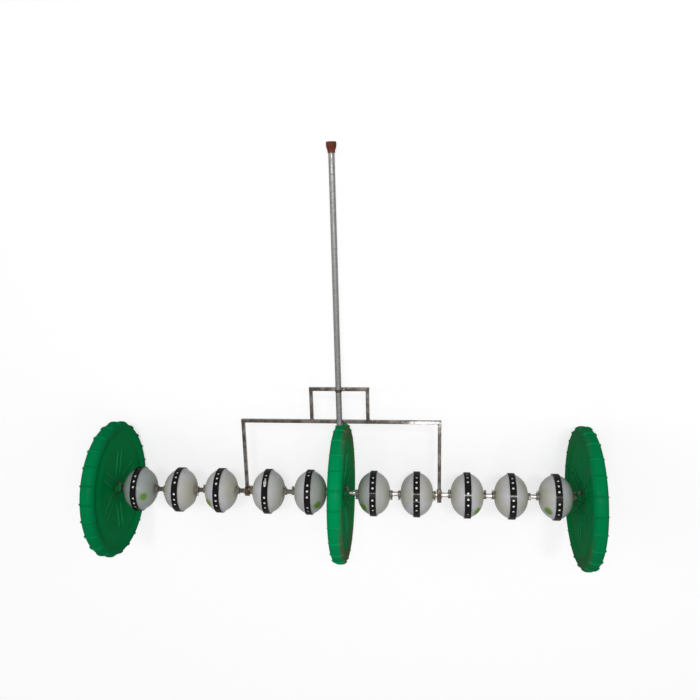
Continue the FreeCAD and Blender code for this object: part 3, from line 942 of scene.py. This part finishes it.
SHAFT_ZINC = ZincSteel("shaft_zinc", paint(196, 192, 192), paint(146, 138, 134), run=(0.04, 1, 1),
                       rusted=0.5, rough=(0.16, 0.28), left_shade=0.9)
POLE_ZINC = ZincSteel("pole_zinc", paint(132, 133, 130), paint(108, 108, 106), run=(1, 0.04, 0.2),
                      rusted=0.2, rough=(0.32, 0.46))


# ---- fasteners


@dataclass(frozen=True)
class HexBolt:
    """A hexagonal bolt head on a washer, seated at its own origin and pointing up."""

    across: float
    head: float
    washer_radius: float
    washer: float

    def model(self) -> Piece:
        """The head and its washer as one piece."""
        washer = ring(0.2 * self.across, self.washer_radius, self.washer, 0.2 * self.washer)
        return hexagon(self.across, self.head, crown=True).shift(lift(self.washer)).join(washer).smooth()


@dataclass(frozen=True)
class NutEnd:
    """A nut on a washer with the bolt's threaded end standing out of it."""

    across: float
    nut: float
    washer_radius: float
    washer: float
    rod_radius: float
    pitch: float
    stand_out: float

    def model(self) -> Piece:
        """The washer, nut and threaded end as one piece.

        Returns:
            The nut and bolt's end.
        """
        washer = ring(self.rod_radius, self.washer_radius, self.washer, 0.2 * self.washer)
        nut = hexagon(self.across, self.nut).shift(lift(self.washer))
        rod = thread(self.rod_radius, self.pitch, self.washer + self.nut + self.stand_out)
        return nut.join(washer, rod).smooth()


@dataclass(frozen=True)
class SetBolt:
    """A set bolt through a neck: a lock nut on the neck, a turn of thread, and the bolt's head."""

    across: float = 10 * MM
    nut: float = 5.0 * MM
    gap: float = 3.6 * MM
    head: float = 4.2 * MM
    head_turn: float = math.radians(20)
    rod_radius: float = 3 * MM
    pitch: float = 1 * MM
    sunk: float = 0.9 * MM

    def model(self) -> Piece:
        """The nut, thread and head as one piece, sunk a little below its own origin.

        Returns:
            The bolt.
        """
        seat = self.nut + self.gap
        nut = hexagon(self.across, self.nut)
        head = hexagon(self.across, self.head, crown=True)
        head.shift(lift(seat) @ turn_about("Z", self.head_turn))
        rod = thread(self.rod_radius, self.pitch, seat)
        return nut.join(head, rod).shift(lift(-self.sunk)).smooth()

    @staticmethod
    def fit(name: str, master: Piece, neck_radius: float, places: Sequence[tuple[float, float]]) -> None:
        """Fit set bolts through round necks on the shaft, as one piece.

        Args:
            name: The piece's name.
            master: The modelled bolt.
            neck_radius: How far from the axis the bolts sit.
            places: Each bolt's place along the shaft and its angle, in degrees.
        """
        bolts = []
        for across, angle in places:
            up = AXES.spoke(angle)
            bolts.append(master.copy(stand_on(AXES.at(across) + up * neck_radius, up)))
        bolts[0].join(*bolts[1:]).mount(name, ZINC_BOLT.material, GEAR_BODY, "shaft_steel")


@dataclass(frozen=True)
class WeldBead:
    """A weld bead: overlapping drops along a run, melted together."""

    pitch: float = 1.5 * MM
    melt: float = 0.55 * MM
    lean: float = 0.5
    squat: float = 0.8

    def run(self, start: Vector, end: Vector, radius: float) -> Piece:
        """One bead of drops from one place to another.

        Args:
            start: Centre of its first drop.
            end: Centre of its last drop.
            radius: Radius of a drop.

        Returns:
            The bead, not yet melted.
        """
        line = end - start
        count = max(2, round(line.length / self.pitch) + 1)
        runs_front = abs(line.normalized().dot(AXES.front)) >= 0.9
        side = AXES.along if runs_front else AXES.front
        bpy.ops.mesh.primitive_uv_sphere_add(segments=12, ring_count=8, radius=radius)
        drop = Piece()
        with drop.edited():
            bpy.ops.transform.resize(value=(1.0, 1.0, self.squat))
            bpy.ops.transform.rotate(value=self.lean, orient_axis="Y", center_override=(0, 0, 0))
        drop.modify("ARRAY", count=count, use_relative_offset=False, use_constant_offset=True,
                    constant_offset_displace=(0, 0, line.length / (count - 1)))
        return drop.shift(stand_on(start, line, side))

    def fit(self, name: str, runs: Sequence[Piece]) -> None:
        """Melt a joint's runs into one skin, on the frame.

        Args:
            name: The weld's name.
            runs: Its beads.
        """
        bead = runs[0].join(*runs[1:]).modify("REMESH", mode="VOXEL", voxel_size=self.melt)
        bead.modify("SMOOTH", factor=0.5, iterations=2).smooth(60)
        bead.mount(name, WELD_METAL.material, FRAME_BODY, "frame_steel")


# ---- sub-assemblies


@dataclass
class Wheels:
    """Three green wheels, each with a set bolt in both ends of its hub."""

    bolt: SetBolt = SetBolt()
    bolt_inset: float = 9 * MM
    bolt_angle: float = 14.0
    hub_radius: float = 18 * MM
    lit_centre_green: Colour = paint(0, 142, 84)

    def build(self) -> None:
        """Dress the wheels and fit their hub bolts."""
        soils = {"wheel_left": (Soil.CLEAN, 1.0), "wheel_centre": (Soil.MUDDY, 1.0),
                 "wheel_right": (Soil.SPLASHED, -1.0)}
        reach = HUB_REACH - self.bolt_inset
        bolt = self.bolt.model()
        for name, (soil, muddy_side) in soils.items():
            middle = AXES.middle(name).x
            plastic = WheelPlastic(f"{name}_plastic", middle, soil, muddy_side)
            # painted light: the centre wheel gets a lighter green, standing in for the stronger light on its
            # tread
            if soil is Soil.MUDDY:
                plastic = replace(plastic, green=self.lit_centre_green)
            dress(NODES[name], plastic.material)
            places = [(middle + sign * reach, self.bolt_angle) for sign in (-1, 1)]
            self.bolt.fit(f"{name}_bolts", bolt, self.hub_radius, places)
        bolt.scrap()


@dataclass
class SeedRow:
    """Ten drums with their bands and caps, and the set bolts that hold them on the shaft."""

    bolt: SetBolt = SetBolt()
    bolt_inset: float = 6 * MM
    bolt_angle: float = 14.0
    turned_bolts: dict[tuple[int, int], float] = field(default_factory=lambda: {
        (2, 0): 160, (2, 1): 160, (6, 0): 172, (6, 1): 172, (7, 0): 158, (7, 1): 158, (9, 1): 74})
    neck_radius: float = 15 * MM
    joint_plate: float = 1.0 * MM
    joint_sunk: float = 0.5 * MM
    joint_edge: float = 0.4 * MM
    joint_width: float = 12 * MM
    joint_length: float = 15 * MM
    joint_angles: tuple[float, ...] = (200, 215, 190, 36, 205, 220, 195, 210, 185, 200)
    screw_radius: float = 3.2 * MM
    screw_height: float = 2.0 * MM
    screw_round: float = 0.9 * MM
    screw_rim: float = 0.8 * MM
    screw_dish: float = 0.5 * MM
    screw_sunk: float = 0.2 * MM
    shaded: dict[int, float] = field(default_factory=lambda: {1: 0.65, 5: 0.2, 6: 0.2})

    def build(self) -> None:
        """Dress the row and fit its bolts and band joints."""
        bolt, joint = self.bolt.model(), self.band_joint()
        for number, angle in enumerate(self.joint_angles, start=1):
            drum, cap = f"seed_drum_{number}", NODES[f"filler_cap_{number}"]
            low, high = AXES.extent(drum)
            middle = AXES.middle(drum).x
            plastic = DrumPlastic(f"drum_plastic_{number}", middle, self.shaded.get(number, 0.0))
            dress(NODES[drum], plastic.material)
            dress(NODES[f"metering_band_{number}"], BAND_PLASTIC.material)
            cap_middle = sum((v.co for v in cap.data.vertices), Vector()) / len(cap.data.vertices)
            dress(cap, CapPlastic(f"cap_plastic_{number}", cap_middle).material)
            places = [(across, self.turned_bolts.get((number, end), self.bolt_angle))
                      for end, across in enumerate((low.x + self.bolt_inset, high.x - self.bolt_inset))]
            self.bolt.fit(f"drum_bolts_{number}", bolt, self.neck_radius, places)
            plate = joint.copy(stand_on(AXES.at(middle), AXES.spoke(angle)))
            plate.mount(f"band_joint_{number}", JOINT_ZINC.material, GEAR_BODY, "shaft_steel")
        bolt.scrap(joint)

    def band_joint(self) -> Piece:
        """A curved plate over a band's ends with two screws, modelled with the shaft along X.

        Returns:
            The plate with its screws.
        """
        band_low, band_high = AXES.extent("metering_band_1")
        radius = (band_high.y - band_low.y) / 2
        top = radius + self.joint_plate
        sweep = self.joint_length / radius
        plate = ring(radius - self.joint_sunk, top, self.joint_width, self.joint_edge, sweep, 8)
        centred = turn_about("Z", -sweep / 2) @ lift(-self.joint_width / 2)
        plate.shift(turn_about("Y", -math.pi / 2) @ centred)
        screw = cylinder(self.screw_radius, self.screw_height)
        with screw.edited(is_top):
            bpy.ops.mesh.bevel(offset=self.screw_round, segments=3)
        screw.dish(self.screw_rim, self.screw_dish)
        seat = lift(top - self.screw_sunk)
        screws = [screw.copy(turn_about("X", sign * sweep / 4) @ seat) for sign in (-1, 1)]
        screw.scrap()
        return plate.join(*screws).smooth()


@dataclass
class Shaft:
    """The through shaft with a washer and a spring clip outside each outer wheel."""

    clip_inner: float = 9.4 * MM
    clip_outer: float = 13.6 * MM
    clip_height: float = 1.4 * MM
    clip_sweep: float = math.radians(312)
    clip_angle: float = 75.0
    ear_offset: float = 0.6 * MM
    ear_radius: float = 2.7 * MM
    ear_wall: float = 1.7 * MM
    groove_start: float = 1.3 * MM
    washer_inner: float = 10.4 * MM
    washer_outer: float = 17 * MM
    washer_height: float = 0.9 * MM
    edge: float = 0.2 * MM

    def build(self) -> None:
        """Dress the shaft and fit its clips and washers."""
        dress(NODES["shaft"], SHAFT_ZINC.material)
        clip = self.clip()
        washer = ring(self.washer_inner, self.washer_outer, self.washer_height, self.edge)
        for side in Side:
            face = AXES.at(AXES.middle(f"wheel_{side.word}").x) + side.out * HUB_REACH
            groove = face + side.out * self.groove_start
            washer.copy(stand_on(face, side.out, AXES.front)).mount(
                f"hub_washer_{side.word}", ZINC_BOLT.material, GEAR_BODY, "shaft_steel")
            clip.copy(stand_on(groove, side.out, AXES.spoke(self.clip_angle))).mount(
                f"spring_clip_{side.word}", SPRING_STEEL.material, GEAR_BODY, "shaft_steel")
        clip.scrap(washer)

    def clip(self) -> Piece:
        """An open ring with an eared end on each side of its gap.

        Returns:
            The clip.
        """
        body = ring(self.clip_inner, self.clip_outer, self.clip_height, self.edge, self.clip_sweep, 44)
        reach = (self.clip_inner + self.clip_outer) / 2 + self.ear_offset
        ears = []
        for angle in (0.0, self.clip_sweep):
            ear = cylinder(self.ear_radius, self.clip_height)
            with ear.edited(is_top):
                bpy.ops.mesh.inset(thickness=self.ear_wall)
                bpy.ops.mesh.extrude_region_move(
                    TRANSFORM_OT_translate={"value": (0, 0, -0.8 * self.clip_height)})
            ears.append(ear.shift(turn_about("Z", angle) @ Matrix.Translation((reach, 0, 0))))
        return body.join(*ears).smooth()


@dataclass
class DrawbarFrame:
    """The square-tube frame with weld beads at its joints."""

    fillet: float = 1.9 * MM
    seam: float = 1.1 * MM
    valley: float = 0.55
    valley_front: float = 0.8 * MM
    bead: WeldBead = WeldBead()

    def build(self) -> None:
        """Dress the tubes and run the welds."""
        tube = TubeSteel("frame_tube").material
        for side in Side:
            leg, post = f"leg_{side.word}", f"bracket_post_{side.word}"
            ends = {"leg_top": leg, "leg_foot": leg, "post_foot": post, "post_top": post}
            for end, node in ends.items():
                dress(NODES[node], tube)
                self.weld_end(f"weld_{end}_{side.word}", node, end.endswith("top"), side)
        for name in ("crossbar", "bracket_bar"):
            dress(NODES[name], tube)
            self.weld_pole(f"weld_pole_{name}", name)

    def weld_end(self, name: str, tube: str, top: bool, side: Side) -> None:
        """Run beads around a tube's end: fillets on its inner side at the top, and on both at the foot.

        Args:
            name: The weld's name.
            tube: The tube's node.
            top: Whether it is the end away from the shaft.
            side: The machine's side that the tube is on.
        """
        low, high = AXES.extent(tube)
        level = high.y if top else low.y
        runs = []
        for sign in (-side.value,) if top else (-1, 1):
            across = high.x if sign > 0 else low.x
            runs.append(self.bead.run(AXES.at(across, level, low.z + self.seam),
                                      AXES.at(across, level, high.z - self.seam), self.fillet))
        for front in (low.z + 0.6 * self.seam, high.z - 0.6 * self.seam):
            runs.append(self.bead.run(AXES.at(low.x + self.seam, level, front),
                                      AXES.at(high.x - self.seam, level, front), self.seam))
        self.bead.fit(name, runs)

    def weld_pole(self, name: str, bar: str) -> None:
        """Run two beads in the valleys between the pole and a bar.

        Args:
            name: The weld's name.
            bar: The bar's node.
        """
        low, high = AXES.extent(bar)
        valley = self.valley * (AXES.extent("pole")[1].x - AXES.middle("pole").x)
        front = high.z + self.valley_front
        self.bead.fit(name, [
            self.bead.run(AXES.at(across, low.y + self.seam, front),
                          AXES.at(across, high.y - self.seam, front), self.fillet)
            for across in (-valley, valley)])


@dataclass
class Bearings:
    """Two bearing blocks with their bushes and the small bolts that close them."""

    bolt: HexBolt = HexBolt(8 * MM, 3.6 * MM, 5.4 * MM, 0.9 * MM)
    bolt_square: float = 12.6 * MM

    def build(self) -> None:
        """Dress the bearings and fit their bolts."""
        steel = TubeSteel("block_steel").material
        bolt = self.bolt.model()
        reach = self.bolt_square
        corners = [(i * reach, j * reach) for i in (-1, 1) for j in (-1, 1)]
        for side in Side:
            block = f"bearing_block_{side.word}"
            dress(NODES[block], steel)
            dress(NODES[f"bearing_bush_{side.word}"], BUSH_STEEL.material)
            low, high = AXES.extent(block)
            inner_face = low.x if side is Side.RIGHT else high.x
            bolts = [bolt.copy(stand_on(AXES.at(inner_face, *corner), -side.out, AXES.along))
                     for corner in corners]
            bolts[0].join(*bolts[1:]).mount(
                f"block_bolts_{side.word}", YELLOW_BOLT.material, FRAME_BODY, "bush_steel")
        bolt.scrap()


@dataclass
class Pole:
    """The pull pole with its knob and the bolted strap at the small bracket."""

    bolt: HexBolt = HexBolt(10 * MM, 4 * MM, 6 * MM, 1.2 * MM)
    nut: NutEnd = NutEnd(10 * MM, 5 * MM, 6 * MM, 1.2 * MM, 3 * MM, 1 * MM, 5 * MM)
    ear_middle: float = 7 * MM
    strap_sheet: float = 2.2 * MM

    def build(self) -> None:
        """Dress the pole and fit the strap's bolts."""
        dress(NODES["pole"], POLE_ZINC.material)
        dress(NODES["pole_knob"], KNOB_RUBBER.material)
        dress(NODES["pole_strap"], TubeSteel("strap_steel").material)
        bar_low, bar_high = AXES.extent("bracket_bar")
        level = AXES.middle("bracket_bar").y
        reach = AXES.extent("pole_strap")[1].x - self.ear_middle
        bolt, nut = self.bolt.model(), self.nut.model()
        ends = {"bolt": (bolt, bar_high.z + self.strap_sheet, AXES.front),
                "nut": (nut, bar_low.z, -AXES.front)}
        for side in Side:
            for part, (master, front, up) in ends.items():
                master.copy(stand_on(AXES.at(side.value * reach, level, front), up)).mount(
                    f"strap_{part}_{side.word}", ZINC_BOLT.material, FRAME_BODY, "strap_steel")
        bolt.scrap(nut)


# ---- studio


@dataclass(frozen=True)
class Lamp:
    """A lamp that looks at a place: a flat box, or an even light from far off if it has no size."""

    name: str
    place: Vector
    aim: Vector
    power: float
    size: tuple[float, float] | None = None
    softness: float = 0.5

    def hang(self) -> None:
        """Add the lamp to the scene."""
        lamp = bpy.data.lights.new(self.name, "AREA" if self.size else "SUN")
        lamp.energy = self.power
        if self.size:
            lamp.shape = "RECTANGLE"
            lamp.size, lamp.size_y = self.size
        else:
            lamp.angle = self.softness
        holder = bpy.data.objects.new(self.name, lamp)
        bpy.context.scene.collection.objects.link(holder)
        holder.location = self.place
        holder.rotation_euler = (self.aim - self.place).to_track_quat("-Z", "Y").to_euler()


@dataclass
class Studio:
    """A white floor under soft light, and the camera over the pole's end."""

    floor_size: float = 60.0
    floor_colour: Colour = (0.42, 0.42, 0.42, 1.0)
    floor_lift: float = 0.67
    white: Colour = (1.0, 1.0, 1.0, 1.0)
    sky: float = 0.21
    camera_place: Vector = Vector((0.3619, 1.3174, 2.8433))
    camera_aim: Vector = Vector((0.0314, -0.0278, 0.0))
    camera_up: Vector = Vector((0.00033, 0.90392, -0.42771))
    lens: float = 36.51
    sensor: float = 36.0
    key_place: Vector = Vector((0.3, 1.1, 3.9))
    front_rise: Vector = Vector((0.32, 1.9, 2.6))
    side_rise: Vector = Vector((2.4, 1.2, 2.0))
    strip_place: Vector = Vector((0.38, 1.47, 3.05))
    gleam_reach: float = 3.2
    gleam_share: float = 0.84

    def build(self) -> None:
        """Lay the floor, hang the lamps and set up the camera."""
        self.lay_floor()
        self.light_world()
        for lamp in self.lamps():
            lamp.hang()
        self.set_camera()

    def lamps(self) -> list[Lamp]:
        """The soft light from above, the fills from the sides and the glints on steel.

        Returns:
            The lamps.
        """
        hub = AXES.origin
        bar_high = AXES.extent("crossbar")[1]
        bar = AXES.at(self.gleam_share * bar_high.x, AXES.middle("crossbar").y, bar_high.z)
        return [
            Lamp("soft_key", self.key_place, hub, power=0.4),
            Lamp("front_glint", hub + self.front_rise, hub, power=0.6, softness=0.12),
            Lamp("front_strip", self.strip_place, AXES.at(self.strip_place.x), power=24.0,
                 size=(1.1, 0.05)),
            *(Lamp(f"fill_{side.word}", hub + self.side_rise * Vector((side.value, 1, 1)), hub,
                   power=power, softness=0.7) for side, power in ((Side.LEFT, 0.5), (Side.RIGHT, 0.35))),
            Lamp("bar_gleam", self.gleam_place(bar, AXES.front), bar, power=3.5, size=(0.26, 0.03)),
        ]

    def gleam_place(self, point: Vector, normal: Vector) -> Vector:
        """Where a lamp hangs for a flat face to gleam toward the camera."""
        view = (self.camera_place - point).normalized()
        return point + (2 * view.dot(normal) * normal - view) * self.gleam_reach

    def lay_floor(self) -> None:
        """A broad floor that the camera sees as white, with the machine's shadow on it."""
        bpy.ops.mesh.primitive_plane_add(size=self.floor_size)
        floor = bpy.context.object
        floor.name = "studio_floor"
        board = Board(bpy.data.materials.new("studio_floor"))
        board.finish(Base_Color=self.floor_colour, Roughness=0.9, Specular_IOR_Level=0.0,
                     Emission_Color=self.white,
                     Emission_Strength=board.seen("Glossy") * self.floor_lift)
        dress(floor, board.owner)

    def light_world(self) -> None:
        """White where it is seen, and a dimmer even sky where it lights."""
        world = bpy.data.worlds.new("studio_sky")
        bpy.context.scene.world = world
        board = Board(world, "Background")
        seen = board.seen("Glossy", "Transmission")
        board.finish(Color=self.white, Strength=seen.span(self.sky, 1.0))

    def set_camera(self) -> None:
        """A camera above the knob that looks down the pole to the shaft."""
        lens = bpy.data.cameras.new("camera")
        lens.lens = self.lens
        lens.sensor_width = self.sensor
        camera = bpy.data.objects.new("camera", lens)
        bpy.context.scene.collection.objects.link(camera)
        backward = (self.camera_place - self.camera_aim).normalized()
        across = self.camera_up.cross(backward).normalized()
        turn = Matrix((across, backward.cross(across), backward)).transposed()
        camera.matrix_world = Matrix.Translation(self.camera_place) @ turn.to_4x4()
        bpy.context.scene.camera = camera
        bpy.context.scene.view_settings.view_transform = "Standard"


def main() -> None:
    """Build the studio first, then the machine from the ground up."""
    logging.basicConfig(level=logging.INFO, format="%(message)s")
    for section in (Studio(), Wheels(), SeedRow(), Shaft(), DrawbarFrame(), Bearings(), Pole()):
        section.build()
        log.info("%s is done", type(section).__name__)


if __name__ == "__main__":
    main()
